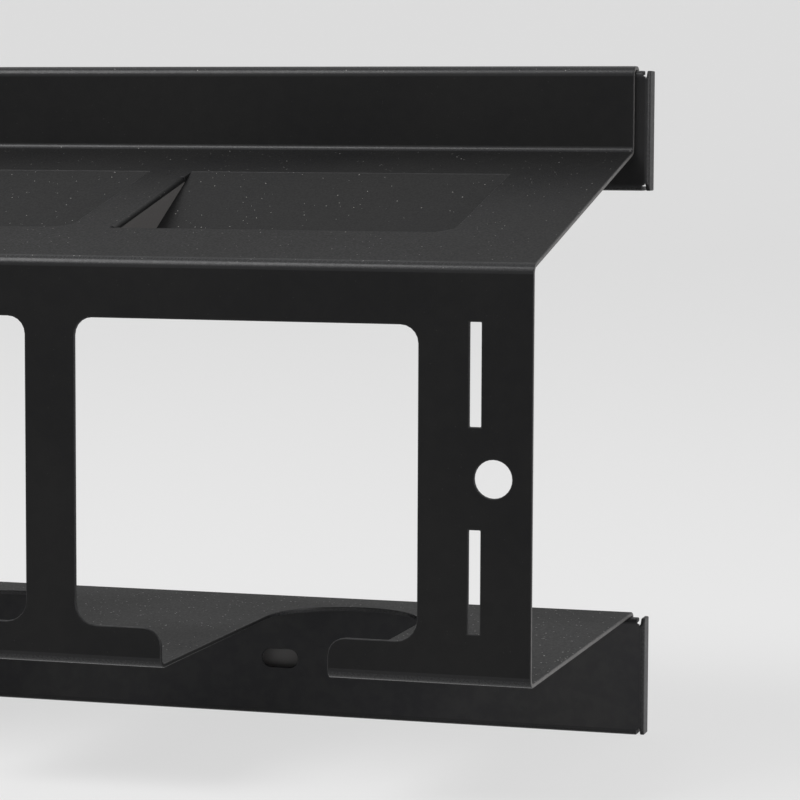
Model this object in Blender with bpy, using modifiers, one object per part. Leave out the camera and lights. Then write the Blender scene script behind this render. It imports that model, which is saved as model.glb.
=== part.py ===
"""Wall-hung holder for four cordless drills, folded from powder-coated sheet steel.

The frame has X along the width, Y into the board and Z up. Its origin lies on the board's face,
at mid-width, on the row of holes that the upper hooks enter.
"""
import math

import bmesh
import bpy
from mathutils import Matrix, Vector

# Stock
SHEET = 0.0012
ROD_DIAMETER = 0.0056
MESH_GAP = 0.0001
CUT_OVERRUN = 0.006
SAME_POINT = 0.000001
ARC_STEPS = 5
NOTCH_STEPS = 12
CIRCLE_SIDES = 28

# Board that the holder hangs on
HOLE_PITCH = 0.0254
BOARD_THICKNESS = 0.00635

# Bays and width
BAY_COUNT = 4
BRIDGE_WIDTH = 0.0126
WINDOW_INSET = 0.0005
END_COLUMN = 0.0291

# Folded profile of the body, as depths in front of the board and heights over the hook row
STRIP_DEPTH = 0.0077
BODY_DEPTH = 0.1232
BODY_TOP = 0.0263
STRIP_FOOT = 0.0028
FRONT_TOP = -0.0240
BODY_BOTTOM = -0.1282
FOLD_RADIUS = 0.0028
VALLEY_RADIUS = 0.0016

# Front windows, lips and the notches in the shelf
WINDOW_TOP_BAND = 0.0151
LIP_HEIGHT = 0.0105
LIP_GAP = 0.0442
WINDOW_TOP_RADIUS = 0.0046
LIP_INNER_RADIUS = 0.0055
LIP_OUTER_RADIUS = 0.0046
NOTCH_CENTRE_DEPTH = 0.0396

# Openings in the slope and the dividers that are folded down from them
OPENING_WIDTH = 0.0916
OPENING_REAR_DEPTH = 0.0346
OPENING_FRONT_DEPTH = 0.0942
OPENING_RADIUS = 0.0065
DIVIDER_FOLD_RADIUS = 0.0014
DIVIDER_START = 0.0060
DIVIDER_RELIEF = 0.0016
DIVIDER_CLEARANCE = 0.0008

# Trough under the openings
TROUGH_ANGLE = math.radians(28.2)
TROUGH_LAND_HEIGHT = -0.0356
TROUGH_REAR_FLANGE = 0.0090
TROUGH_FRONT_FLANGE = 0.0070
TROUGH_MARGIN = 0.0030

# Slots and round holes of the end columns
END_SLOT_WIDTH = 0.0030
END_SLOT_LENGTH = 0.0258
END_SLOTS_APART = 0.0512
END_HOLE_DIAMETER = 0.0096
END_HOLE_INSET = 0.0099
END_HOLE_HEIGHT = -0.0766

# Rails
RAIL_OVERHANG = 0.0043
RAIL_HEIGHT = 0.0332
RAIL_FOLD_RADIUS = 0.0015
RAIL_RELIEF = 0.0006
RAIL_TOP_CLEARANCE = 0.0017
REAR_FLANGE_CLEARANCE = 0.0005
RAIL_SLOT_LENGTH = 0.0110
RAIL_SLOT_WIDTH = 0.0053
RAIL_SLOT_OFFSET = 0.1272

# Hooks and pegs
INNER_HOLE = 2
OUTER_ROD_INSET = 0.0500
HOOK_RISE = 0.0130
HOOK_BEND_RADIUS = 0.0050
PEG_REACH = 0.0100
PEG_CHAMFER = 0.0010
ROD_CLEARANCE = 0.0005
HOOK_STEPS = 6
ROD_SIDES = 20

# Worked out from the sizes above
BAY_PITCH = OPENING_WIDTH + BRIDGE_WIDTH
WINDOW_WIDTH = OPENING_WIDTH - 2 * WINDOW_INSET
BODY_WIDTH = (BAY_COUNT - 1) * BAY_PITCH + WINDOW_WIDTH + 2 * END_COLUMN
RAIL_WIDTH = BODY_WIDTH + 2 * RAIL_OVERHANG
BAY_CENTRES = [(bay - (BAY_COUNT - 1) / 2) * BAY_PITCH for bay in range(BAY_COUNT)]
SLOPE_ANGLE = math.atan2(STRIP_FOOT - FRONT_TOP, BODY_DEPTH - STRIP_DEPTH)
OPENING_LENGTH = (OPENING_FRONT_DEPTH - OPENING_REAR_DEPTH) / math.cos(SLOPE_ANGLE)
SLIT_LENGTH = OPENING_LENGTH - MESH_GAP
LIP_TOP = BODY_BOTTOM + LIP_HEIGHT
WINDOW_TOP = FRONT_TOP - WINDOW_TOP_BAND
RAIL_FRONT_DEPTH = STRIP_DEPTH - SHEET - MESH_GAP
UPPER_RAIL_TOP = BODY_TOP - SHEET - MESH_GAP
LOWER_RAIL_TOP = BODY_BOTTOM - MESH_GAP
UPPER_FLANGE_FOOT = UPPER_RAIL_TOP - RAIL_HEIGHT + SHEET + REAR_FLANGE_CLEARANCE
LOWER_FLANGE_FOOT = LOWER_RAIL_TOP - RAIL_HEIGHT + SHEET + REAR_FLANGE_CLEARANCE
PEG_ROW = round((RAIL_HEIGHT / 2 - LOWER_RAIL_TOP) / HOLE_PITCH)
PEG_HEIGHT = -PEG_ROW * HOLE_PITCH
OUTER_HOLE = int((BODY_WIDTH / 2 - OUTER_ROD_INSET) / HOLE_PITCH)
HOOK_HOLES = (-OUTER_HOLE, -INNER_HOLE, INNER_HOLE, OUTER_HOLE)
PEG_HOLES = (-OUTER_HOLE, OUTER_HOLE)
ROD_START = -(RAIL_FRONT_DEPTH - SHEET - MESH_GAP)

COATS = {
    "body": ((0.030, 0.030, 0.032), 0.42),
    "trough": ((0.032, 0.032, 0.033), 0.45),
    "rail": ((0.028, 0.028, 0.030), 0.40),
}
ZINC = ((0.46, 0.46, 0.45), 0.35)


def new_collection(name):
    """Add a collection under the scene."""
    collection = bpy.data.collections.new(name)
    bpy.context.scene.collection.children.link(collection)
    return collection


def make_material(name, colour, roughness, metallic):
    """One Principled finish."""
    material = bpy.data.materials.new(name)
    material.use_nodes = True
    shader = material.node_tree.nodes["Principled BSDF"]
    shader.inputs["Base Color"].default_value = (*colour, 1)
    shader.inputs["Roughness"].default_value = roughness
    shader.inputs["Metallic"].default_value = metallic
    return material


def add_object(name, bm, material, collection):
    """Turn a bmesh into a named object of a collection."""
    mesh = bpy.data.meshes.new(name)
    bm.to_mesh(mesh)
    bm.free()
    thing = bpy.data.objects.new(name, mesh)
    if material:
        mesh.materials.append(material)
    collection.objects.link(thing)
    return thing


def rounded(corners, closed, steps=ARC_STEPS):
    """Points of an outline whose corners (u, v, radius) are replaced by arcs."""
    points = []
    count = len(corners)
    for index, (u, v, radius) in enumerate(corners):
        corner = Vector((u, v))
        at_end = not closed and index in (0, count - 1)
        if at_end or radius == 0:
            points.append(corner)
            continue
        back = (Vector(corners[index - 1][:2]) - corner).normalized()
        ahead = (Vector(corners[(index + 1) % count][:2]) - corner).normalized()
        half = back.angle(ahead) / 2
        centre = corner + (back + ahead).normalized() * radius / math.sin(half)
        first = corner + back * radius / math.tan(half) - centre
        last = corner + ahead * radius / math.tan(half) - centre
        turn = first.angle_signed(last)
        for step in range(steps + 1):
            point = centre + Matrix.Rotation(-turn * step / steps, 2) @ first
            if not points or (point - points[-1]).length > SAME_POINT:
                points.append(point)
    return points


def prism(outline, low, high, place):
    """Closed solid between two heights over a flat outline, set down by a matrix."""
    bm = bmesh.new()
    verts = [bm.verts.new((point[0], point[1], low)) for point in outline]
    face = bm.faces.new(verts)
    extruded = bmesh.ops.extrude_face_region(bm, geom=[face])
    moved = [item for item in extruded["geom"] if isinstance(item, bmesh.types.BMVert)]
    bmesh.ops.translate(bm, verts=moved, vec=(0, 0, high - low))
    bmesh.ops.transform(bm, matrix=place, verts=bm.verts)
    bmesh.ops.recalc_face_normals(bm, faces=bm.faces)
    return bm


def cutter(name, outline, low, high, place=Matrix()):
    """A solid that only removes material."""
    thing = add_object(name, prism(outline, low, high, place), None, CUTTERS)
    thing.hide_render = True
    thing.display_type = "WIRE"
    return thing


def cut(target, tool):
    """Remove a cutter's volume from a piece."""
    modifier = target.modifiers.new(tool.name, "BOOLEAN")
    modifier.operation = "DIFFERENCE"
    modifier.solver = "EXACT"
    modifier.object = tool


def thicken(target):
    """Give an open surface the sheet's thickness, on the side behind its faces."""
    modifier = target.modifiers.new("Sheet", "SOLIDIFY")
    modifier.thickness = SHEET
    modifier.offset = -1
    modifier.use_even_offset = True
    modifier.use_rim = True


def turn_towards(bm, direction):
    """Make the faces agree, with the largest face along a direction pointing that way."""
    bmesh.ops.recalc_face_normals(bm, faces=bm.faces)
    bm.normal_update()
    leader = max(bm.faces, key=lambda face: abs(face.normal.dot(direction)) * face.calc_area())
    if leader.normal.dot(direction) < 0:
        bmesh.ops.reverse_faces(bm, faces=bm.faces)


def flatwise():
    """Matrix that takes an outline in X and Z and looks along Y."""
    return Matrix.Rotation(math.pi / 2, 4, "X")


def slope_height(depth):
    """Height of the slope's upper face at a depth in front of the board."""
    return STRIP_FOOT - (depth - STRIP_DEPTH) * math.tan(SLOPE_ANGLE)


def slope_place():
    """Matrix from the slope's own plane: X along the width, Y down the slope, Z out of the sheet.

    Its zero lies on the upper face, at the rear edge of the openings.
    """
    origin = Vector((0, -OPENING_REAR_DEPTH, slope_height(OPENING_REAR_DEPTH)))
    down = Vector((0, -math.cos(SLOPE_ANGLE), -math.sin(SLOPE_ANGLE)))
    out = Vector((0, -math.sin(SLOPE_ANGLE), math.cos(SLOPE_ANGLE)))
    place = Matrix((Vector((1, 0, 0)), down, out)).transposed().to_4x4()
    place.translation = origin
    return place


def swept_sheet(profile, stations):
    """Open surface swept along X through the stations, with one row of faces between two."""
    bm = bmesh.new()
    verts = [bm.verts.new((stations[0], y, z)) for y, z in profile]
    edges = [bm.edges.new(pair) for pair in zip(verts, verts[1:])]
    for start, end in zip(stations, stations[1:]):
        extruded = bmesh.ops.extrude_edge_only(bm, edges=edges)["geom"]
        moved = [item for item in extruded if isinstance(item, bmesh.types.BMVert)]
        bmesh.ops.translate(bm, verts=moved, vec=(end - start, 0, 0))
        edges = [item for item in extruded if isinstance(item, bmesh.types.BMEdge)
                 and all(vert in moved for vert in item.verts)]
    return bm


def slope_point(along):
    """Depth and height of the slope's upper face at a length down from the openings' rear edge."""
    point = slope_place() @ Vector((0, along, 0))
    return point.y, point.z


def divider_depth(along):
    """Reach of a divider under the slope's upper face, short of the trough by its clearance."""
    trough_drop = along * math.tan(TROUGH_ANGLE - SLOPE_ANGLE)
    return SHEET + MESH_GAP + trough_drop - DIVIDER_CLEARANCE


def body_profile():
    """Outer line of the folded body, from the upper rear flange round to the lower one."""
    return rounded([
        (0, UPPER_FLANGE_FOOT, 0),
        (0, BODY_TOP, FOLD_RADIUS),
        (-STRIP_DEPTH, BODY_TOP, FOLD_RADIUS),
        (-STRIP_DEPTH, STRIP_FOOT, VALLEY_RADIUS),
        (*slope_point(DIVIDER_START), 0),
        (*slope_point(SLIT_LENGTH - DIVIDER_RELIEF), 0),
        (*slope_point(SLIT_LENGTH), 0),
        (-BODY_DEPTH, FRONT_TOP, FOLD_RADIUS),
        (-BODY_DEPTH, BODY_BOTTOM, FOLD_RADIUS),
        (-SHEET, BODY_BOTTOM, VALLEY_RADIUS),
        (-SHEET, LOWER_FLANGE_FOOT, 0),
    ], closed=False)


def fold_down_divider(bm, centre):
    """Open the slope beside a divider's fold line, and fold the divider down from it."""
    place = slope_place()
    level = place.inverted()
    face_x = centre - OPENING_WIDTH / 2
    fold_x = face_x - DIVIDER_FOLD_RADIUS
    slit_x = face_x + DIVIDER_FOLD_RADIUS

    def middle(item):
        return level @ (sum((vert.co for vert in item.verts), Vector()) / len(item.verts))

    def on_slope(point):
        return abs(point.z) < SAME_POINT and DIVIDER_START < point.y < SLIT_LENGTH

    opened = [face for face in bm.faces
              if on_slope(middle(face)) and fold_x < middle(face).x < slit_x]
    bmesh.ops.delete(bm, geom=opened, context="FACES")
    fold = [edge for edge in bm.edges
            if on_slope(middle(edge)) and abs(middle(edge).x - fold_x) < SAME_POINT
            and middle(edge).y < SLIT_LENGTH - DIVIDER_RELIEF]
    spun = bmesh.ops.spin(
        bm, geom=fold, cent=place @ Vector((fold_x, 0, -DIVIDER_FOLD_RADIUS)),
        axis=place.to_3x3() @ Vector((0, -1, 0)), angle=math.pi / 2, steps=ARC_STEPS)
    last = [item for item in spun["geom_last"] if isinstance(item, bmesh.types.BMEdge)]
    extruded = bmesh.ops.extrude_edge_only(bm, edges=last)["geom"]
    for vert in (item for item in extruded if isinstance(item, bmesh.types.BMVert)):
        local = level @ vert.co
        local.z = -divider_depth(local.y)
        vert.co = place @ local


def window_outline(centre):
    """Front window with the gap between its two lips, open at the foot."""
    half = WINDOW_WIDTH / 2
    gap = LIP_GAP / 2
    foot = BODY_BOTTOM - CUT_OVERRUN
    return rounded([
        (centre - half, LIP_TOP, LIP_INNER_RADIUS),
        (centre - gap, LIP_TOP, LIP_OUTER_RADIUS),
        (centre - gap, foot, 0),
        (centre + gap, foot, 0),
        (centre + gap, LIP_TOP, LIP_OUTER_RADIUS),
        (centre + half, LIP_TOP, LIP_INNER_RADIUS),
        (centre + half, WINDOW_TOP, WINDOW_TOP_RADIUS),
        (centre - half, WINDOW_TOP, WINDOW_TOP_RADIUS),
    ], closed=True)


def notch_outline(centre):
    """U-shaped notch from the front edge of the shelf to its half-round end."""
    gap = LIP_GAP / 2
    front = -BODY_DEPTH - CUT_OVERRUN
    apex = -NOTCH_CENTRE_DEPTH + gap
    return rounded([
        (centre - gap, front, 0),
        (centre + gap, front, 0),
        (centre + gap, apex, gap),
        (centre - gap, apex, gap),
    ], closed=True, steps=NOTCH_STEPS)


def opening_outline(centre):
    """Opening in the slope's own plane, square where the divider is folded down."""
    half = OPENING_WIDTH / 2
    return rounded([
        (centre - half, 0, 0),
        (centre + half, 0, 0),
        (centre + half, OPENING_LENGTH, OPENING_RADIUS),
        (centre - half, OPENING_LENGTH, 0),
    ], closed=True)


def slot_outline(x, z, width, height, radius):
    """Slot about a centre, as wide and high as given."""
    return rounded([
        (x - width / 2, z - height / 2, radius),
        (x + width / 2, z - height / 2, radius),
        (x + width / 2, z + height / 2, radius),
        (x - width / 2, z + height / 2, radius),
    ], closed=True)


def circle_outline(x, z, diameter):
    """Round hole about a centre."""
    turns = [2 * math.pi * side / CIRCLE_SIDES for side in range(CIRCLE_SIDES)]
    radius = diameter / 2
    return [Vector((x + radius * math.cos(turn), z + radius * math.sin(turn))) for turn in turns]


def front_cutter(name, outline):
    """Cutter through the body's front face."""
    return cutter(name, outline, BODY_DEPTH - CUT_OVERRUN, BODY_DEPTH + CUT_OVERRUN, flatwise())


def rod_hole_cutter(name, x, z):
    """Cutter for a rod's hole in one of the body's rear flanges."""
    outline = circle_outline(x, z, ROD_DIAMETER + 2 * ROD_CLEARANCE)
    return cutter(name, outline, -CUT_OVERRUN / 2, SHEET + CUT_OVERRUN / 2, flatwise())


def build_body():
    """The folded sheet with its windows, notches, openings, dividers, slots and holes."""
    stations = [-BODY_WIDTH / 2, BODY_WIDTH / 2]
    for centre in BAY_CENTRES:
        face_x = centre - OPENING_WIDTH / 2
        stations += [face_x - DIVIDER_FOLD_RADIUS, face_x + DIVIDER_FOLD_RADIUS]
    bm = swept_sheet(body_profile(), sorted(stations))
    for centre in BAY_CENTRES:
        fold_down_divider(bm, centre)
    turn_towards(bm, Vector((0, -1, 0)))
    body = add_object("body", bm, MATERIALS["body"], PARTS)
    thicken(body)
    for bay, centre in enumerate(BAY_CENTRES, start=1):
        cut(body, front_cutter(f"window_{bay}", window_outline(centre)))
        cut(body, cutter(f"notch_{bay}", notch_outline(centre),
                         BODY_BOTTOM - CUT_OVERRUN, BODY_BOTTOM + CUT_OVERRUN))
        cut(body, cutter(f"opening_{bay}", opening_outline(centre),
                         -(SHEET + DIVIDER_FOLD_RADIUS) / 2, CUT_OVERRUN, slope_place()))
    for side, end in ((-1, "left"), (1, "right")):
        slot_x = side * (BODY_WIDTH / 2 - END_COLUMN / 2)
        hole_x = side * (BODY_WIDTH / 2 - END_HOLE_INSET)
        for level, row in ((1, "upper"), (-1, "lower")):
            slot_z = END_HOLE_HEIGHT + level * END_SLOTS_APART / 2
            outline = slot_outline(slot_x, slot_z, END_SLOT_WIDTH, END_SLOT_LENGTH, 0)
            cut(body, front_cutter(f"{end}_{row}_slot", outline))
        cut(body, front_cutter(f"{end}_hole",
                               circle_outline(hole_x, END_HOLE_HEIGHT, END_HOLE_DIAMETER)))
    for number, hole in enumerate(HOOK_HOLES, start=1):
        cut(body, rod_hole_cutter(f"hook_hole_{number}", hole * HOLE_PITCH, 0))
    for number, hole in enumerate(PEG_HOLES, start=1):
        cut(body, rod_hole_cutter(f"peg_hole_{number}", hole * HOLE_PITCH, PEG_HEIGHT))
    return body


def build_trough():
    """Second sheet under the openings, welded to the slope and to the back of the front face."""
    under_slope = (SHEET + MESH_GAP) / math.cos(SLOPE_ANGLE)
    rear_depth = OPENING_REAR_DEPTH - TROUGH_REAR_FLANGE
    fold_height = slope_height(OPENING_REAR_DEPTH) - under_slope
    land_depth = OPENING_REAR_DEPTH + (fold_height - TROUGH_LAND_HEIGHT) / math.tan(TROUGH_ANGLE)
    front_depth = BODY_DEPTH - 2 * SHEET - MESH_GAP
    profile = rounded([
        (-rear_depth, slope_height(rear_depth) - under_slope, 0),
        (-OPENING_REAR_DEPTH, fold_height, FOLD_RADIUS),
        (-land_depth, TROUGH_LAND_HEIGHT, VALLEY_RADIUS),
        (-front_depth, TROUGH_LAND_HEIGHT, VALLEY_RADIUS),
        (-front_depth, TROUGH_LAND_HEIGHT + TROUGH_FRONT_FLANGE, 0),
    ], closed=False)
    reach = BAY_CENTRES[-1] + OPENING_WIDTH / 2 + TROUGH_MARGIN
    bm = swept_sheet(profile, [-reach, reach])
    turn_towards(bm, Vector((0, 0, 1)))
    trough = add_object("trough", bm, MATERIALS["trough"], PARTS)
    thicken(trough)


def fold_flange(bm, axis, side, depth, widening=0):
    """Fold one flange of a rail back from the edge of its front plate.

    axis is 0 for an end and 2 for the top or bottom; side is -1 or 1. The flange grows wider
    round its fold by the widening at each of its ends.
    """
    across = 2 - axis
    outermost = max(side * vert.co[axis] for vert in bm.verts)
    edge = max((edge for edge in bm.edges
                if all(abs(side * vert.co[axis] - outermost) < SAME_POINT for vert in edge.verts)),
               key=lambda edge: abs(edge.verts[0].co[across] - edge.verts[1].co[across]))
    centre = edge.verts[0].co + Vector((0, RAIL_FOLD_RADIUS, 0))
    turn = Vector((0, 0, side)) if axis == 0 else Vector((-side, 0, 0))
    spun = bmesh.ops.spin(bm, geom=[edge], cent=centre, axis=turn,
                          angle=math.pi / 2, steps=ARC_STEPS)
    last = [item for item in spun["geom_last"] if isinstance(item, bmesh.types.BMEdge)]
    extruded = bmesh.ops.extrude_edge_only(bm, edges=last)["geom"]
    moved = [item for item in extruded if isinstance(item, bmesh.types.BMVert)]
    bmesh.ops.translate(bm, verts=moved, vec=(0, depth - RAIL_FOLD_RADIUS, 0))
    middle = (edge.verts[0].co[across] + edge.verts[1].co[across]) / 2
    for vert in bm.verts:
        if side * vert.co[axis] > outermost + SAME_POINT:
            folded = min(1, (vert.co.y + RAIL_FRONT_DEPTH) / RAIL_FOLD_RADIUS)
            vert.co[across] += math.copysign(widening * folded, vert.co[across] - middle)


def build_rail(name, top):
    """Shallow folded pan that stiffens a rear flange of the body, a little wider than the body."""
    half = RAIL_WIDTH / 2 - RAIL_FOLD_RADIUS
    low = top - RAIL_HEIGHT + RAIL_FOLD_RADIUS
    high = top - RAIL_FOLD_RADIUS
    columns = (-half, -half + RAIL_RELIEF, half - RAIL_RELIEF, half)
    rows = (low, low + RAIL_RELIEF, high - RAIL_RELIEF, high)
    bm = bmesh.new()
    bmesh.ops.create_grid(bm, x_segments=len(columns) - 1, y_segments=len(rows) - 1, size=1)
    for vert in bm.verts:
        column = round((vert.co.x + 1) * (len(columns) - 1) / 2)
        row = round((vert.co.y + 1) * (len(rows) - 1) / 2)
        vert.co = (columns[column], -RAIL_FRONT_DEPTH, rows[row])
    clear_of_body = RAIL_FRONT_DEPTH - SHEET - RAIL_TOP_CLEARANCE
    fold_flange(bm, 2, 1, clear_of_body)
    fold_flange(bm, 2, -1, RAIL_FRONT_DEPTH)
    fold_flange(bm, 0, 1, RAIL_FRONT_DEPTH, RAIL_FOLD_RADIUS + RAIL_RELIEF)
    fold_flange(bm, 0, -1, RAIL_FRONT_DEPTH, RAIL_FOLD_RADIUS + RAIL_RELIEF)
    turn_towards(bm, Vector((0, -1, 0)))
    rail = add_object(name, bm, MATERIALS["rail"], PARTS)
    thicken(rail)
    for side, end in ((-1, "left"), (1, "right")):
        outline = slot_outline(side * RAIL_SLOT_OFFSET, top - RAIL_HEIGHT / 2,
                               RAIL_SLOT_LENGTH, RAIL_SLOT_WIDTH, RAIL_SLOT_WIDTH / 2)
        cut(rail, cutter(f"{name}_{end}_slot", outline, RAIL_FRONT_DEPTH - CUT_OVERRUN / 2,
                         RAIL_FRONT_DEPTH + CUT_OVERRUN / 2, flatwise()))


def build_hook(name, x):
    """Rod through the board that turns up behind it."""
    upright = BOARD_THICKNESS + ROD_CLEARANCE + ROD_DIAMETER / 2
    points = rounded([
        (ROD_START, 0, 0),
        (upright, 0, HOOK_BEND_RADIUS),
        (upright, HOOK_RISE, 0),
    ], closed=False, steps=HOOK_STEPS)
    curve = bpy.data.curves.new(name, "CURVE")
    curve.dimensions = "3D"
    curve.bevel_depth = ROD_DIAMETER / 2
    curve.bevel_resolution = 3
    curve.use_fill_caps = True
    spline = curve.splines.new("POLY")
    spline.points.add(len(points) - 1)
    for spot, (y, z) in zip(spline.points, points):
        spot.co = (0, y, z, 1)
    curve.materials.append(MATERIALS["rod"])
    hook = bpy.data.objects.new(name, curve)
    hook.location.x = x
    PARTS.objects.link(hook)


def build_peg(name, x):
    """Straight rod with a chamfered tip that keeps the foot from swinging sideways."""
    length = PEG_REACH - ROD_START
    bm = bmesh.new()
    bmesh.ops.create_cone(bm, cap_ends=True, segments=ROD_SIDES, radius1=ROD_DIAMETER / 2,
                          radius2=ROD_DIAMETER / 2, depth=length)
    tip = [edge for edge in bm.edges if all(vert.co.z > 0 for vert in edge.verts)]
    bmesh.ops.bevel(bm, geom=tip, offset=PEG_CHAMFER, segments=1, profile=0.5, affect="EDGES",
                    material=-1)
    bmesh.ops.rotate(bm, verts=bm.verts, matrix=Matrix.Rotation(-math.pi / 2, 3, "X"))
    peg = add_object(name, bm, MATERIALS["rod"], PARTS)
    peg.location = (x, ROD_START + length / 2, PEG_HEIGHT)


for leftover in list(bpy.data.objects):
    bpy.data.objects.remove(leftover)

PARTS = new_collection("pegboard_drill_holder")
CUTTERS = new_collection("cutters")
MATERIALS = {name: make_material(name, colour, roughness, 0)
             for name, (colour, roughness) in COATS.items()}
MATERIALS["rod"] = make_material("rod", *ZINC, 1)

build_body()
build_trough()
build_rail("upper_rail", UPPER_RAIL_TOP)
build_rail("lower_rail", LOWER_RAIL_TOP)
for number, hole in enumerate(HOOK_HOLES, start=1):
    build_hook(f"hook_{number}", hole * HOLE_PITCH)
for number, hole in enumerate(PEG_HOLES, start=1):
    build_peg(f"peg_{number}", hole * HOLE_PITCH)
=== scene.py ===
"""Looks of a wall-hung drill holder: powder-coated sheet steel on plated hooks, in a pale studio."""
import math

import bmesh
import bpy
from bpy.props import FloatProperty, FloatVectorProperty, IntProperty, PointerProperty
from bpy.types import Operator, Panel, PropertyGroup
from mathutils import Matrix, Vector


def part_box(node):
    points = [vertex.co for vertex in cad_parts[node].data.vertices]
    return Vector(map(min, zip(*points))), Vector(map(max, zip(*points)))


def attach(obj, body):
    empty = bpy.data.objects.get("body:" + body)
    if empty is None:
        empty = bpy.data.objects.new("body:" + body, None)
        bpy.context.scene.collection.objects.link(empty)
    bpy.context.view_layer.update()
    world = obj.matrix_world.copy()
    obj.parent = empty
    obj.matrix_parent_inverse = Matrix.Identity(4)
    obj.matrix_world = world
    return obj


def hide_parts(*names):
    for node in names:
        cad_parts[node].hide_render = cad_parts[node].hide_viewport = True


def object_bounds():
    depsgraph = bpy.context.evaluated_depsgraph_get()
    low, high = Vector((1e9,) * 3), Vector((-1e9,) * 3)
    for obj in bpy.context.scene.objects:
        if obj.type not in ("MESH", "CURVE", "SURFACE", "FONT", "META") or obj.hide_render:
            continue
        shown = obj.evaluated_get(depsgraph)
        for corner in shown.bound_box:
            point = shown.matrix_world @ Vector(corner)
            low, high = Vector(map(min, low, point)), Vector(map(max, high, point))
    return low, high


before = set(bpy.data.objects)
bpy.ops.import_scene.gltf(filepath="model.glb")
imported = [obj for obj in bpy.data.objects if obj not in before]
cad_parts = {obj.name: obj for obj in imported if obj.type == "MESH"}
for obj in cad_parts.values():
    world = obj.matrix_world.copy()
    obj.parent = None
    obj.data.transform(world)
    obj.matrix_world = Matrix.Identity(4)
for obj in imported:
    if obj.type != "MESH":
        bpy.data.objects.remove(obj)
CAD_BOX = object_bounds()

bl_info = {
    "name": "Drill Holder Looks",
    "version": (1, 0, 0),
    "blender": (4, 5, 0),
    "location": "3D View > Sidebar > Drill Holder",
    "description": "Finishes a sheet-metal drill holder and sets up its studio",
    "category": "Object",
}

BODY = "root"

# Merging of the sheet pieces, and what counts as a fold, a divider wall or a hidden flange; folds get
# a painted highlight, divider walls and hidden flanges painted light
SAME_POINT = 0.000001
FLAT_ANGLE = math.radians(1)
FOLD_STEP = (math.radians(5), math.radians(35))
FOLD_STRIP_WIDTH = 0.0014
SKEW_LIMIT = 0.05
SQUARE_ON = 0.9
POCKET_WALL_AREA = 0.0002
BACKING_DEPTH = 0.0020
RIM_LAYER = "rim"
FOLD_LAYER = "fold"
PAINTED_WALL_LIGHT_LAYER = "painted_wall_light"
PAINTED_BACKING_LIGHT_LAYER = "painted_backing_light"
OUTER_STRIP_MARK = 0.5

# Section of the trough, as depths in front of the board and heights over the hook row
SHEET = 0.0012
SLOPE_FOOT = (0.0077, 0.0028)
SLOPE_FALL = 0.0268 / 0.1155
SLOPE_GAP = 0.0001
POCKET_REAR = 0.0346
TROUGH_LAP = 0.0090
TROUGH_FALL = math.tan(math.radians(28.2))
TROUGH_LAND = -0.0356
TROUGH_LIP = 0.0070
TROUGH_BEND = 0.0004
TROUGH_LIP_BEND = 0.0016
TROUGH_BEND_SEGMENTS = 5

# Marks in the powder coat: their widths, the spans of noise that show, and what they change
PATCH_WIDTH = 0.060
PATCH_SPAN = (0.38, 0.68)
PATCH_SHARE = 0.7
PATCH_ROUGHNESS = 0.05
MOTTLE_WIDTH = 0.0040
MOTTLE_SPAN = (0.35, 0.65)
CHIP_WIDTH = 0.0030
CHIP_SPAN = (0.35, 0.70)
CHIP_MARKS = (0.45, 1.0)
GRAIN_SPAN = (0.3, 0.7)
GRAIN_ROUGHNESS = (-0.05, 0.06)
PEEL_WIDTH = 0.0032
FOLD_SMOOTHING = 0.8

# Dust on the coat, by how far a face looks up
DUST_COLOUR = (0.42, 0.41, 0.40)
DUST_TILT = (0.2, 0.8)
DUST_SHARES = (0.04, 1.0)
SPECK_TILT = (0.97, 1.0)
SLANTED_SPECK = 0.6
FILM_TILT = (0.90, 1.0)

# Marks in the zinc plate
CLOUD_WIDTH = 0.0050
CLOUD_SPAN = (0.35, 0.65)
DULL_ZINC = 0.72
SCUFF_WIDTH = 0.0009
SCUFF_SPAN = (0.3, 0.7)
SCUFF_ROUGHNESS = (-0.08, 0.12)
SCUFF_DEPTH = 0.00001

HOOKS = ("hook_1", "hook_2", "hook_3", "hook_4")
PEGS = ("peg_1", "peg_2")
ROD_SHARP_ANGLE = math.radians(40)
ROD_CHAMFER_SEGMENTS = 2

# Studio floor and lamps
BACKDROP_BEND = 1.0
BACKDROP_HEIGHT = 1.6
BACKDROP_STEPS = 12
FLOOR_SEGMENTS = 96
PAPER_ROUGHNESS = 0.9
PAPER_GLOSS = 0.2
KEY_SIZE = 0.9
KEY_PLACE = (-0.62, -0.86, 1.33)
FILL_SIZE = 0.6
FILL_PLACE = (1.7, -0.5, 0.35)

# Photograph's viewpoint
IMAGE_SIZE = 800
FOCAL_PIXELS = 3085.8
SENSOR_WIDTH = 36
CLIP_START = 0.01
CLIP_END = 50
CAMERA_PLACE = (0.4071, -0.8498, 0.0091)
CAMERA_TURN = math.radians(16.123)
CAMERA_TILT = math.radians(-5.049)
CAMERA_ROLL = math.radians(0.244)


class SheetEdges(PropertyGroup):
    """How the cut and folded edges of the sheet are rounded."""

    radius: FloatProperty(
        name="Edge Radius", description="Rounding that the coat gives to every cut edge",
        default=0.00025, min=0.00005, max=0.0005, precision=5, unit="LENGTH")
    sharp_angle: FloatProperty(
        name="Sharp Angle", description="Edges that turn by more than this are rounded",
        default=math.radians(35), subtype="ANGLE")
    segments: IntProperty(
        name="Segments", description="Strips that make up one rounded edge", default=2, min=1, max=4)


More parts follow.
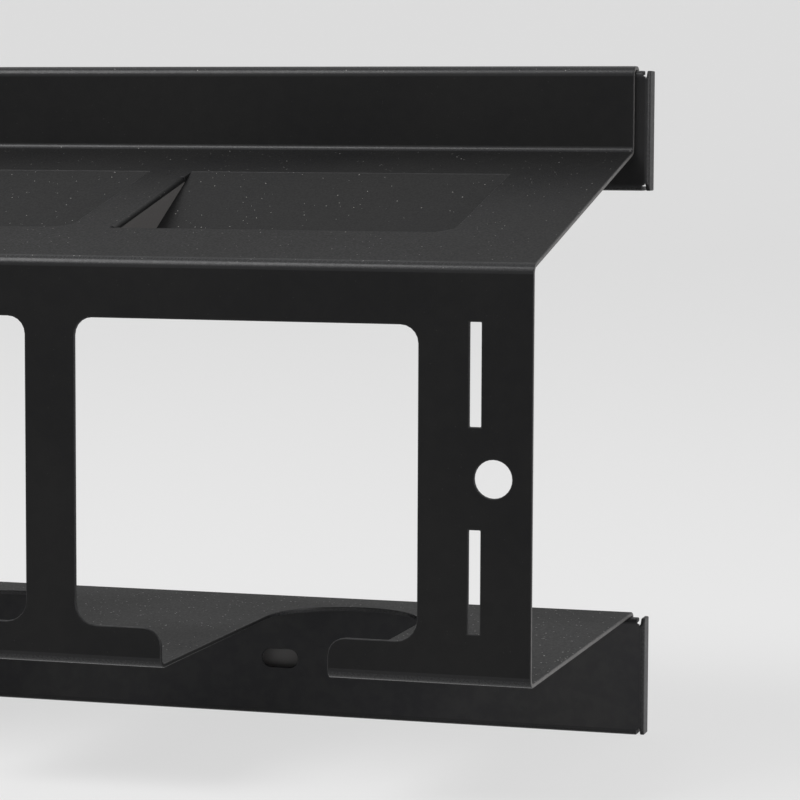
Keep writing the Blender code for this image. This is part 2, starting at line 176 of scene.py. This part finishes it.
class PowderCoat(PropertyGroup):
    """Matt black powder coat."""

    colour: FloatVectorProperty(
        name="Colour", description="Colour of the coat on open faces", subtype="COLOR", size=3,
        default=(0.0048, 0.0048, 0.0052), min=0, max=1)
    faded: FloatVectorProperty(
        name="Faded Colour", description="Colour where handling has dulled the coat",
        subtype="COLOR", size=3, default=(0.0080, 0.0079, 0.0079), min=0, max=1)
    # Partly painted highlight: rims are lighter where the coat is thin and where edges catch light
    rim_wear_and_highlight_colour: FloatVectorProperty(
        name="Rim Wear And Highlight", description="Colour on rounded edges, where the coat is thin, with a painted highlight",
        subtype="COLOR", size=3, default=(0.026, 0.026, 0.027), min=0, max=1)
    # Painted highlight: a lighter colour along the folds
    fold_highlight_colour: FloatVectorProperty(
        name="Fold Highlight Colour", description="Painted highlight: lighter colour along the folds",
        subtype="COLOR", size=3, default=(0.026, 0.026, 0.027), min=0, max=1)
    roughness: FloatProperty(
        name="Roughness", description="Roughness of the coat", default=0.42, min=0, max=1)
    fold_roughness: FloatProperty(
        name="Fold Roughness", description="Roughness where the coat is stretched over a fold",
        default=0.25, min=0, max=1)
    gloss: FloatProperty(
        name="Gloss", description="Specular level of the coat", default=0.16, min=0, max=1)
    film_roughness: FloatProperty(
        name="Film Roughness", description="How much rougher a film of dust makes what faces up",
        default=0.15, min=0, max=0.5)
    # Painted light: each rail gets a lighter copy of the body's coat
    upper_rail_light_gain: FloatProperty(
        name="Upper Rail Lift", description="How much lighter the upper rail is than the body",
        default=2.0, min=1, max=8)
    lower_rail_light_gain: FloatProperty(
        name="Lower Rail Lift", description="How much lighter the lower rail is than the body",
        default=8.0, min=1, max=12)
    # Painted light: a pale colour on the divider walls, which stand in shade
    painted_wall_light_colour: FloatVectorProperty(
        name="Painted Wall Light", description="Painted light on the divider walls",
        subtype="COLOR", size=3, default=(0.110, 0.106, 0.104), min=0, max=1)
    # Painted light: a pale colour on the flanges inside the rails, seen through their slots
    painted_backing_light_colour: FloatVectorProperty(
        name="Painted Backing Light", description="Painted light on the flanges inside the rails",
        subtype="COLOR", size=3, default=(0.34, 0.33, 0.33), min=0, max=1)
    grain: FloatProperty(
        name="Grain", description="Width of one grain of the coat", default=0.0006, precision=5,
        unit="LENGTH")
    grain_depth: FloatProperty(
        name="Grain Depth", description="Height of the grain", default=0.00002, precision=6,
        unit="LENGTH")
    speck_spacing: FloatProperty(
        name="Speck Spacing", description="Distance between specks of dust", default=0.0016,
        precision=4, unit="LENGTH")
    speck_radius: FloatProperty(
        name="Speck Radius", description="Size of the largest specks of dust", default=0.00026,
        precision=5, unit="LENGTH")


class PlatedRod(PropertyGroup):
    """Zinc-plated rod of the hooks and pegs."""

    colour: FloatVectorProperty(
        name="Colour", description="Colour of the plating", subtype="COLOR", size=3,
        default=(0.50, 0.51, 0.50), min=0, max=1)
    roughness: FloatProperty(
        name="Roughness", description="Roughness of the plating", default=0.34, min=0, max=1)
    bend_radius: FloatProperty(
        name="Bend Radius", description="Radius of a hook's bend, at the middle of the rod",
        default=0.0050, precision=4, unit="LENGTH")
    chamfer: FloatProperty(
        name="Chamfer", description="Chamfer round the end of a rod", default=0.0005, precision=5,
        unit="LENGTH")
    sides: IntProperty(
        name="Sides", description="Sides round a rod", default=32, min=12, max=64)


class Studio(PropertyGroup):
    """Floor, light and camera."""

    floor_colour: FloatVectorProperty(
        name="Floor Colour", description="Colour of the floor and the backdrop", subtype="COLOR",
        size=3, default=(0.78, 0.78, 0.78), min=0, max=1)
    floor_radius: FloatProperty(
        name="Floor Radius", description="Distance at which the backdrop starts to rise",
        default=3.2, unit="LENGTH")
    sky: FloatProperty(
        name="Sky", description="Strength of the even light from all round", default=0.30, min=0)
    paleness: FloatProperty(
        name="Paleness", description="Brightness of the surroundings as they are seen",
        default=0.86, min=0, max=1)
    shadow_depth: FloatProperty(
        name="Shadow Depth", description="How much of the floor's own light and shadow shows",
        default=0.25, min=0, max=1)
    key_power: FloatProperty(
        name="Key Power", description="Power of the lamp overhead at the left", default=24,
        unit="POWER")
    fill_power: FloatProperty(
        name="Fill Power", description="Power of the lamp at the right", default=11, unit="POWER")


class Finisher:
    """Adds nodes to one material and links them as it goes."""

    def __init__(self, name):
        self.material = bpy.data.materials.new(name)
        self.material.use_nodes = True
        self.nodes = self.material.node_tree.nodes
        self.links = self.material.node_tree.links
        self.shader = self.nodes["Principled BSDF"]
        self.place = self.add("TexCoord").outputs["Object"]

    def add(self, kind, **settings):
        """One shader node with its settings."""
        node = self.nodes.new("ShaderNode" + kind)
        for setting, value in settings.items():
            setattr(node, setting, value)
        return node

    def feed(self, socket, source):
        """Link a socket, or set it where the source is a plain value."""
        if isinstance(source, bpy.types.NodeSocket):
            self.links.new(source, socket)
        else:
            socket.default_value = source

    def noise(self, width, detail=2.0):
        """Noise whose lumps are about as wide as given."""
        node = self.add("TexNoise")
        self.feed(node.inputs["Vector"], self.place)
        self.feed(node.inputs["Scale"], 1 / width)
        self.feed(node.inputs["Detail"], detail)
        return node.outputs["Fac"]

    def layer(self, name):
        """Value that was painted on a piece's faces."""
        return self.add("Attribute", attribute_name=name).outputs["Fac"]

    def spread(self, source, low, high, to_low=0.0, to_high=1.0):
        """Stretch a range of values over another range, and hold it there."""
        node = self.add("MapRange", interpolation_type="SMOOTHSTEP")
        for name, value in (("Value", source), ("From Min", low), ("From Max", high),
                            ("To Min", to_low), ("To Max", to_high)):
            self.feed(node.inputs[name], value)
        return node.outputs["Result"]

    def math(self, operation, first, second):
        """Sum, product or other operation on two values."""
        node = self.add("Math", operation=operation)
        self.feed(node.inputs[0], first)
        self.feed(node.inputs[1], second)
        return node.outputs["Value"]

    def mix(self, share, first, second):
        """Blend two colours."""
        node = self.add("Mix", data_type="RGBA")
        self.feed(node.inputs["Factor"], share)
        for name, colour in (("A", first), ("B", second)):
            socket = next(item for item in node.inputs
                          if item.name == name and item.type == "RGBA")
            self.feed(socket, colour if isinstance(colour, bpy.types.NodeSocket) else (*colour, 1))
        return next(item for item in node.outputs if item.type == "RGBA")

    def bump(self, height, distance, strength=1.0, below=None):
        """Raise the surface by a height map, over another bump if one is given."""
        node = self.add("Bump")
        self.feed(node.inputs["Strength"], strength)
        self.feed(node.inputs["Height"], height)
        self.feed(node.inputs["Distance"], distance)
        if below is not None:
            self.feed(node.inputs["Normal"], below)
        return node.outputs["Normal"]


def powder_coat(name, coat, light_gain=1.0):
    """Matt black coat with fine grain, dulled patches, thin chipped rims with a painted highlight, a
    painted highlight along the folds, painted light on divider walls and hidden flanges, and dust on
    what faces up; a gain above 1 gives a lighter copy as painted light.
    """
    finish = Finisher(name)
    dulled = finish.spread(finish.noise(PATCH_WIDTH, detail=4), *PATCH_SPAN)
    mottle = finish.spread(finish.noise(MOTTLE_WIDTH), *MOTTLE_SPAN)
    grain = finish.noise(coat.grain)
    patches = finish.math("ADD", finish.math("MULTIPLY", dulled, PATCH_SHARE),
                          finish.math("MULTIPLY", mottle, 1 - PATCH_SHARE))
    # A gain above 1 gives a lighter copy of the coat: painted light
    colour = finish.mix(patches, [light_gain * part for part in coat.colour],
                        [light_gain * part for part in coat.faded])

    fold = finish.layer(FOLD_LAYER)
    # Painted highlight: every fold strip is lightened, at half strength where a fold runs out
    colour = finish.mix(fold, colour, coat.fold_highlight_colour)
    # Painted light: the divider walls are made pale
    colour = finish.mix(finish.layer(PAINTED_WALL_LIGHT_LAYER), colour, coat.painted_wall_light_colour)
    # Painted light: the flanges inside the rails are made pale
    colour = finish.mix(finish.layer(PAINTED_BACKING_LIGHT_LAYER), colour, coat.painted_backing_light_colour)
    chipped = finish.spread(finish.noise(CHIP_WIDTH, detail=3), *CHIP_SPAN, *CHIP_MARKS)
    # Rims: partly chipped thin coat, partly a painted highlight
    rim = finish.math("MULTIPLY", finish.layer(RIM_LAYER), chipped)
    colour = finish.mix(rim, colour, coat.rim_wear_and_highlight_colour)

    cells = finish.add("TexVoronoi")
    finish.feed(cells.inputs["Vector"], finish.place)
    finish.feed(cells.inputs["Scale"], 1 / coat.speck_spacing)
    size = finish.add("SeparateColor")
    finish.feed(size.inputs["Color"], cells.outputs["Color"])
    normal = finish.add("SeparateXYZ")
    finish.feed(normal.inputs["Vector"], finish.add("NewGeometry").outputs["Normal"])
    upward = normal.outputs["Z"]
    largest = coat.speck_radius / coat.speck_spacing
    reach = finish.math("MULTIPLY", size.outputs["Red"],
                        finish.spread(upward, *SPECK_TILT, SLANTED_SPECK * largest, largest))
    speck = finish.math("LESS_THAN", cells.outputs["Distance"], reach)
    dust = finish.math("MULTIPLY", speck, finish.spread(upward, *DUST_TILT, *DUST_SHARES))
    finish.feed(finish.shader.inputs["Base Color"], finish.mix(dust, colour, DUST_COLOUR))
    finish.shader.inputs["Specular IOR Level"].default_value = coat.gloss

    rough = finish.spread(grain, *GRAIN_SPAN,
                          *(coat.roughness + change for change in GRAIN_ROUGHNESS))
    rough = finish.math("ADD", rough, finish.math("MULTIPLY", dulled, PATCH_ROUGHNESS))
    smoothed = finish.math("MULTIPLY", fold, coat.fold_roughness - coat.roughness)
    rough = finish.math("ADD", rough, smoothed)
    film = finish.spread(upward, *FILM_TILT, 0.0, coat.film_roughness)
    rough = finish.math("ADD", rough, film)
    finish.feed(finish.shader.inputs["Roughness"], rough)

    relief = finish.math("SUBTRACT", 1.0, finish.math("MULTIPLY", fold, FOLD_SMOOTHING))
    peel = finish.bump(finish.noise(PEEL_WIDTH), coat.grain_depth, relief)
    finish.feed(finish.shader.inputs["Normal"],
                finish.bump(grain, coat.grain_depth, relief, peel))
    return finish.material


def zinc_plate(name, rod):
    """Bright zinc with cloudy patches and fine scuffs."""
    finish = Finisher(name)
    cloud = finish.spread(finish.noise(CLOUD_WIDTH, detail=4), *CLOUD_SPAN)
    dull = [DULL_ZINC * part for part in rod.colour]
    finish.feed(finish.shader.inputs["Base Color"], finish.mix(cloud, rod.colour, dull))
    finish.shader.inputs["Metallic"].default_value = 1
    scuff = finish.noise(SCUFF_WIDTH, detail=5)
    rough = finish.spread(scuff, *SCUFF_SPAN,
                          *(rod.roughness + change for change in SCUFF_ROUGHNESS))
    finish.feed(finish.shader.inputs["Roughness"], rough)
    finish.feed(finish.shader.inputs["Normal"], finish.bump(scuff, SCUFF_DEPTH))
    return finish.material


def seat(piece, material, slot, *nodes):
    """Give a piece its finish, and let it stand for its nodes on the holder."""
    piece.data.materials.clear()
    piece.data.materials.append(material)
    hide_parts(*nodes)
    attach(piece, BODY)


def make_object(name, bm):
    """Turn a bmesh into an object with smooth faces."""
    for face in bm.faces:
        face.smooth = True
    mesh = bpy.data.meshes.new(name)
    bm.to_mesh(mesh)
    bm.free()
    thing = bpy.data.objects.new(name, mesh)
    bpy.context.scene.collection.objects.link(thing)
    return thing


def node_sheet(node):
    """Copy of a sheet node with whole faces."""
    bm = bmesh.new()
    bm.from_mesh(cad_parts[node].data)
    bmesh.ops.remove_doubles(bm, verts=bm.verts, dist=SAME_POINT)
    bmesh.ops.dissolve_limit(bm, angle_limit=FLAT_ANGLE, verts=bm.verts, edges=bm.edges)
    return bm


def is_fold_strip(face):
    """Whether a face is one of the narrow strips of a long fold, not of a divider or a corner."""
    if min(abs(face.normal.x), abs(face.normal.z)) > SKEW_LIMIT:
        return False
    longest = max(edge.calc_length() for edge in face.edges)
    turning = [edge for edge in face.edges if edge.is_manifold
               and FOLD_STEP[0] < edge.calc_face_angle() < FOLD_STEP[1]]
    return len(turning) > 1 and face.calc_area() / longest < FOLD_STRIP_WIDTH


def soften_folds(bm, fold):
    """Halve the mark on the strips where a fold runs out into a flat face."""
    outer = [face for face in bm.faces if face[fold] and any(
        edge.is_manifold and FOLD_STEP[0] < edge.calc_face_angle() < FOLD_STEP[1]
        and not other[fold] for edge in face.edges for other in edge.link_faces)]
    for face in outer:
        face[fold] = OUTER_STRIP_MARK


def coated_sheet(name, bm, edges):
    """Object of a sheet with rounded edges, whose faces are marked: rims and folds for a painted
    highlight, divider walls and hidden flanges for painted light.
    """
    layers = bm.faces.layers.float
    names = (RIM_LAYER, FOLD_LAYER, PAINTED_WALL_LIGHT_LAYER, PAINTED_BACKING_LIGHT_LAYER)
    for layer in names:
        layers.new(layer)
    rim, fold, painted_wall_light, painted_backing_light = (layers[layer] for layer in names)
    for face in bm.faces:
        face[fold] = is_fold_strip(face)
        # Divider walls, marked for painted light
        face[painted_wall_light] = (abs(face.normal.x) > SQUARE_ON
                        and face.calc_area() > POCKET_WALL_AREA)
        # Front faces close to the board, marked for painted light
        face[painted_backing_light] = (face.normal.y < -SQUARE_ON
                         and face.calc_center_median().y > -BACKING_DEPTH)
    soften_folds(bm, fold)
    sharp = [edge for edge in bm.edges
             if edge.is_manifold and edge.calc_face_angle() > edges.sharp_angle]
    rims = bmesh.ops.bevel(bm, geom=sharp, offset=edges.radius, segments=edges.segments,
                           profile=0.5, affect="EDGES", clamp_overlap=False, material=-1)
    for face in rims["faces"]:
        face[rim] = 1
    sheet = make_object(name, bm)
    weighted = sheet.modifiers.new("Flat Faces", "WEIGHTED_NORMAL")
    weighted.keep_sharp = True
    return sheet


def slope_height(depth):
    """Height of the slope's upper face at a depth in front of the board."""
    return SLOPE_FOOT[1] - (depth - SLOPE_FOOT[0]) * SLOPE_FALL


def trough_sheet():
    """Trough whose floor steps up to lie level with the slope at the rear of the openings."""
    low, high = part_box("trough")
    under = (SHEET + SLOPE_GAP) * math.hypot(1, SLOPE_FALL)
    lap = POCKET_REAR - TROUGH_LAP
    level = slope_height(POCKET_REAR)
    land = POCKET_REAR + (level - TROUGH_LAND) / TROUGH_FALL
    front = -low.y - SHEET
    bm = bmesh.new()
    verts = [bm.verts.new((low.x, -depth, height)) for depth, height in (
        (lap, slope_height(lap) - under),
        (POCKET_REAR - 2 * SLOPE_GAP, slope_height(POCKET_REAR) - under),
        (POCKET_REAR + SLOPE_GAP / 2, level),
        (land, TROUGH_LAND),
        (front, TROUGH_LAND),
        (front, TROUGH_LAND + TROUGH_LIP))]
    edges = [bm.edges.new(pair) for pair in zip(verts, verts[1:])]
    drawn = bmesh.ops.extrude_edge_only(bm, edges=edges)["geom"]
    moved = [item for item in drawn if isinstance(item, bmesh.types.BMVert)]
    bmesh.ops.translate(bm, verts=moved, vec=(high.x - low.x, 0, 0))
    for depth, offset in ((land, TROUGH_BEND), (front, TROUGH_LIP_BEND)):
        fold = [edge for edge in bm.edges
                if all(abs(vert.co.y + depth) < SAME_POINT
                       and abs(vert.co.z - TROUGH_LAND) < SAME_POINT for vert in edge.verts)]
        bmesh.ops.bevel(bm, geom=fold, offset=offset, segments=TROUGH_BEND_SEGMENTS,
                        profile=0.5, affect="EDGES", material=-1)
    bmesh.ops.recalc_face_normals(bm, faces=bm.faces)
    floor = max(bm.faces, key=lambda face: face.calc_area())
    if floor.normal.z < 0:
        bmesh.ops.reverse_faces(bm, faces=bm.faces)
    bmesh.ops.solidify(bm, geom=bm.faces, thickness=SHEET)
    bmesh.ops.recalc_face_normals(bm, faces=bm.faces)
    return bm


def rod_ring(bm, x, start, radius, sides):
    """Ring of edges round a rod's start, in a plane that faces the board."""
    place = Matrix.Translation((x, *start)) @ Matrix.Rotation(math.pi / 2, 4, "X")
    ring = bmesh.ops.create_circle(bm, segments=sides, radius=radius, matrix=place)
    return list({edge for vert in ring["verts"] for edge in vert.link_edges})


def draw_out(bm, ring, step):
    """Lengthen a rod by a step, and return its new end ring."""
    drawn = bmesh.ops.extrude_edge_only(bm, edges=ring)["geom"]
    moved = [item for item in drawn if isinstance(item, bmesh.types.BMVert)]
    bmesh.ops.translate(bm, verts=moved, vec=step)
    return [item for item in drawn if isinstance(item, bmesh.types.BMEdge)
            and all(vert in moved for vert in item.verts)]


def close_rod(bm, chamfer):
    """Cap both ends of a rod and chamfer them."""
    bmesh.ops.holes_fill(bm, edges=bm.edges, sides=0)
    bmesh.ops.recalc_face_normals(bm, faces=bm.faces)
    caps = [face for face in bm.faces if len(face.verts) > 4]
    rims = list({edge for face in caps for edge in face.edges})
    bmesh.ops.bevel(bm, geom=rims, offset=chamfer, segments=ROD_CHAMFER_SEGMENTS, profile=0.5,
                    affect="EDGES", material=-1)


def finish_rod(name, bm):
    """Object of a rod whose flat ends stay flat."""
    rod = make_object(name, bm)
    rod.data.set_sharp_from_angle(angle=ROD_SHARP_ANGLE)
    return rod


class DRILLHOLDER_OT_body(Operator):
    """Round and coat the folded body"""

    bl_idname = "drill_holder.body"
    bl_label = "Coat Body"

    def execute(self, context):
        scene = context.scene
        body = coated_sheet("coated_body", node_sheet("body"), scene.sheet_edges)
        seat(body, powder_coat("body powder coat", scene.powder_coat), "body", "body")
        return {"FINISHED"}


class DRILLHOLDER_OT_trough(Operator):
    """Round and coat the trough under the openings"""

    bl_idname = "drill_holder.trough"
    bl_label = "Coat Trough"

    def execute(self, context):
        scene = context.scene
        trough = coated_sheet("coated_trough", trough_sheet(), scene.sheet_edges)
        seat(trough, powder_coat("trough powder coat", scene.powder_coat), "trough", "trough")
        return {"FINISHED"}


class DRILLHOLDER_OT_rails(Operator):
    """Round and coat the two rails"""

    bl_idname = "drill_holder.rails"
    bl_label = "Coat Rails"

    def execute(self, context):
        scene = context.scene
        coat = scene.powder_coat
        # Each rail gets a lighter copy of the coat: painted light
        for node, light_gain in (("upper_rail", coat.upper_rail_light_gain),
                           ("lower_rail", coat.lower_rail_light_gain)):
            rail = coated_sheet(f"coated_{node}", node_sheet(node), scene.sheet_edges)
            seat(rail, powder_coat(f"{node} powder coat", coat, light_gain), "rail", node)
        return {"FINISHED"}


class DRILLHOLDER_OT_hooks(Operator):
    """Draw the hooks that turn up behind the board"""

    bl_idname = "drill_holder.hooks"
    bl_label = "Make Hooks"

    def execute(self, context):
        rod = context.scene.plated_rod
        zinc = zinc_plate("hook zinc", rod)
        for node in HOOKS:
            low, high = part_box(node)
            radius = (high.x - low.x) / 2
            x = (low.x + high.x) / 2
            axis = low.z + radius
            upright = high.y - radius
            bm = bmesh.new()
            ring = rod_ring(bm, x, (low.y, axis), radius, rod.sides)
            ring = draw_out(bm, ring, (0, upright - rod.bend_radius - low.y, 0))
            spun = bmesh.ops.spin(
                bm, geom=ring, axis=(1, 0, 0), angle=math.pi / 2, steps=rod.sides // 4,
                cent=(x, upright - rod.bend_radius, axis + rod.bend_radius))
            ring = [item for item in spun["geom_last"] if isinstance(item, bmesh.types.BMEdge)]
            draw_out(bm, ring, (0, 0, high.z - axis - rod.bend_radius))
            close_rod(bm, rod.chamfer)
            seat(finish_rod(f"plated_{node}", bm), zinc, "rod", node)
        return {"FINISHED"}


class DRILLHOLDER_OT_pegs(Operator):
    """Draw the straight pegs of the foot"""

    bl_idname = "drill_holder.pegs"
    bl_label = "Make Pegs"

    def execute(self, context):
        rod = context.scene.plated_rod
        zinc = zinc_plate("peg zinc", rod)
        for node in PEGS:
            low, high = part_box(node)
            radius = (high.x - low.x) / 2
            bm = bmesh.new()
            ring = rod_ring(bm, (low.x + high.x) / 2, (low.y, low.z + radius), radius, rod.sides)
            draw_out(bm, ring, (0, high.y - low.y, 0))
            close_rod(bm, 2 * rod.chamfer)
            seat(finish_rod(f"plated_{node}", bm), zinc, "rod", node)
        return {"FINISHED"}


def seen_directly(tree):
    """Socket that is 1 where a surface is looked at, or seen in a reflection or through glass."""
    path = tree.nodes.new("ShaderNodeLightPath")
    seen = path.outputs["Is Camera Ray"]
    for ray in ("Is Glossy Ray", "Is Transmission Ray"):
        either = tree.nodes.new("ShaderNodeMath")
        either.operation = "MAXIMUM"
        tree.links.new(seen, either.inputs[0])
        tree.links.new(path.outputs[ray], either.inputs[1])
        seen = either.outputs["Value"]
    return seen


def hang_sky(studio):
    """World that gives even light and looks as pale as the floor."""
    world = bpy.data.worlds.new("studio sky")
    world.use_nodes = True
    nodes, links = world.node_tree.nodes, world.node_tree.links
    light = nodes["Background"]
    light.inputs["Color"].default_value = (1, 1, 1, 1)
    light.inputs["Strength"].default_value = studio.sky
    view = nodes.new("ShaderNodeBackground")
    view.inputs["Color"].default_value = (1, 1, 1, 1)
    view.inputs["Strength"].default_value = studio.paleness
    blend = nodes.new("ShaderNodeMixShader")
    links.new(seen_directly(world.node_tree), blend.inputs[0])
    links.new(light.outputs["Background"], blend.inputs[1])
    links.new(view.outputs["Background"], blend.inputs[2])
    links.new(blend.outputs["Shader"], nodes["World Output"].inputs["Surface"])
    bpy.context.scene.world = world


def lay_floor(studio, low):
    """Round floor that rises into a backdrop on every side."""
    bm = bmesh.new()
    profile = [bm.verts.new((0, 0, low)), bm.verts.new((studio.floor_radius, 0, low))]
    for step in range(1, BACKDROP_STEPS + 1):
        turn = math.pi / 2 * step / BACKDROP_STEPS
        profile.append(bm.verts.new((studio.floor_radius + BACKDROP_BEND * math.sin(turn), 0,
                                     low + BACKDROP_BEND * (1 - math.cos(turn)))))
    profile.append(bm.verts.new((studio.floor_radius + BACKDROP_BEND, 0,
                                 low + BACKDROP_BEND + BACKDROP_HEIGHT)))
    edges = [bm.edges.new(pair) for pair in zip(profile, profile[1:])]
    bmesh.ops.spin(bm, geom=profile + edges, cent=(0, 0, 0), axis=(0, 0, 1), angle=2 * math.pi,
                   steps=FLOOR_SEGMENTS, use_merge=True)
    bmesh.ops.remove_doubles(bm, verts=bm.verts, dist=SAME_POINT)
    bmesh.ops.recalc_face_normals(bm, faces=bm.faces)
    floor = make_object("studio_floor", bm)
    finish = Finisher("studio paper")
    finish.shader.inputs["Base Color"].default_value = (*studio.floor_colour, 1)
    finish.shader.inputs["Roughness"].default_value = PAPER_ROUGHNESS
    finish.shader.inputs["Specular IOR Level"].default_value = PAPER_GLOSS
    glow = finish.add("Emission")
    glow.inputs["Strength"].default_value = studio.paleness
    blend = finish.add("MixShader")
    finish.feed(blend.inputs[0], finish.math(
        "MULTIPLY", seen_directly(finish.material.node_tree), 1 - studio.shadow_depth))
    finish.feed(blend.inputs[1], finish.shader.outputs["BSDF"])
    finish.feed(blend.inputs[2], glow.outputs["Emission"])
    finish.feed(finish.nodes["Material Output"].inputs["Surface"], blend.outputs["Shader"])
    floor.data.materials.append(finish.material)


def hang_lamp(name, power, size, place, target):
    """Square soft lamp that points at a target."""
    data = bpy.data.lights.new(name, "AREA")
    data.energy = power
    data.shape = "SQUARE"
    data.size = size
    lamp = bpy.data.objects.new(name, data)
    lamp.location = place
    lamp.rotation_euler = (target - Vector(place)).to_track_quat("-Z", "Y").to_euler()
    bpy.context.scene.collection.objects.link(lamp)


def set_camera():
    """Camera where the photographer stood."""
    data = bpy.data.cameras.new("photo_camera")
    data.sensor_width = SENSOR_WIDTH
    data.lens = FOCAL_PIXELS * SENSOR_WIDTH / IMAGE_SIZE
    data.clip_start = CLIP_START
    data.clip_end = CLIP_END
    camera = bpy.data.objects.new("photo_camera", data)
    camera.matrix_world = (Matrix.Translation(CAMERA_PLACE) @ Matrix.Rotation(CAMERA_TURN, 4, "Z")
                           @ Matrix.Rotation(math.pi / 2 + CAMERA_TILT, 4, "X")
                           @ Matrix.Rotation(CAMERA_ROLL, 4, "Z"))
    bpy.context.scene.collection.objects.link(camera)
    bpy.context.scene.camera = camera


class DRILLHOLDER_OT_studio(Operator):
    """Lay the floor, hang the lamps and set the camera"""

    bl_idname = "drill_holder.studio"
    bl_label = "Set Up Studio"

    def execute(self, context):
        studio = context.scene.studio
        low, high = CAD_BOX
        middle = (low + high) / 2
        lay_floor(studio, low.z)
        hang_lamp("key", studio.key_power, KEY_SIZE, KEY_PLACE, middle)
        hang_lamp("fill", studio.fill_power, FILL_SIZE, FILL_PLACE, middle)
        hang_sky(studio)
        context.scene.view_settings.view_transform = "Standard"
        set_camera()
        return {"FINISHED"}


OPERATORS = (DRILLHOLDER_OT_body, DRILLHOLDER_OT_trough, DRILLHOLDER_OT_rails,
             DRILLHOLDER_OT_hooks, DRILLHOLDER_OT_pegs, DRILLHOLDER_OT_studio)
GROUPS = {"sheet_edges": SheetEdges, "powder_coat": PowderCoat, "plated_rod": PlatedRod,
          "studio": Studio}


class DRILLHOLDER_PT_looks(Panel):
    """Sidebar panel with every step and its settings."""

    bl_idname = "DRILLHOLDER_PT_looks"
    bl_label = "Drill Holder"
    bl_space_type = "VIEW_3D"
    bl_region_type = "UI"
    bl_category = "Drill Holder"

    def draw(self, context):
        for group in GROUPS:
            box = self.layout.box()
            settings = getattr(context.scene, group)
            for name in settings.bl_rna.properties.keys():
                if name not in ("rna_type", "name"):
                    box.prop(settings, name)
        for operator in OPERATORS:
            self.layout.operator(operator.bl_idname)


CLASSES = (*GROUPS.values(), *OPERATORS, DRILLHOLDER_PT_looks)


def register():
    """Add the settings and steps to Blender."""
    for item in CLASSES:
        bpy.utils.register_class(item)
    for name, group in GROUPS.items():
        setattr(bpy.types.Scene, name, PointerProperty(type=group))


def unregister():
    """Take the settings and steps out of Blender again."""
    for name in GROUPS:
        delattr(bpy.types.Scene, name)
    for item in reversed(CLASSES):
        bpy.utils.unregister_class(item)


def main():
    """Run every step in order."""
    register()
    bpy.ops.drill_holder.body()
    bpy.ops.drill_holder.trough()
    bpy.ops.drill_holder.rails()
    bpy.ops.drill_holder.hooks()
    bpy.ops.drill_holder.pegs()
    bpy.ops.drill_holder.studio()


if __name__ == "__main__":
    main()
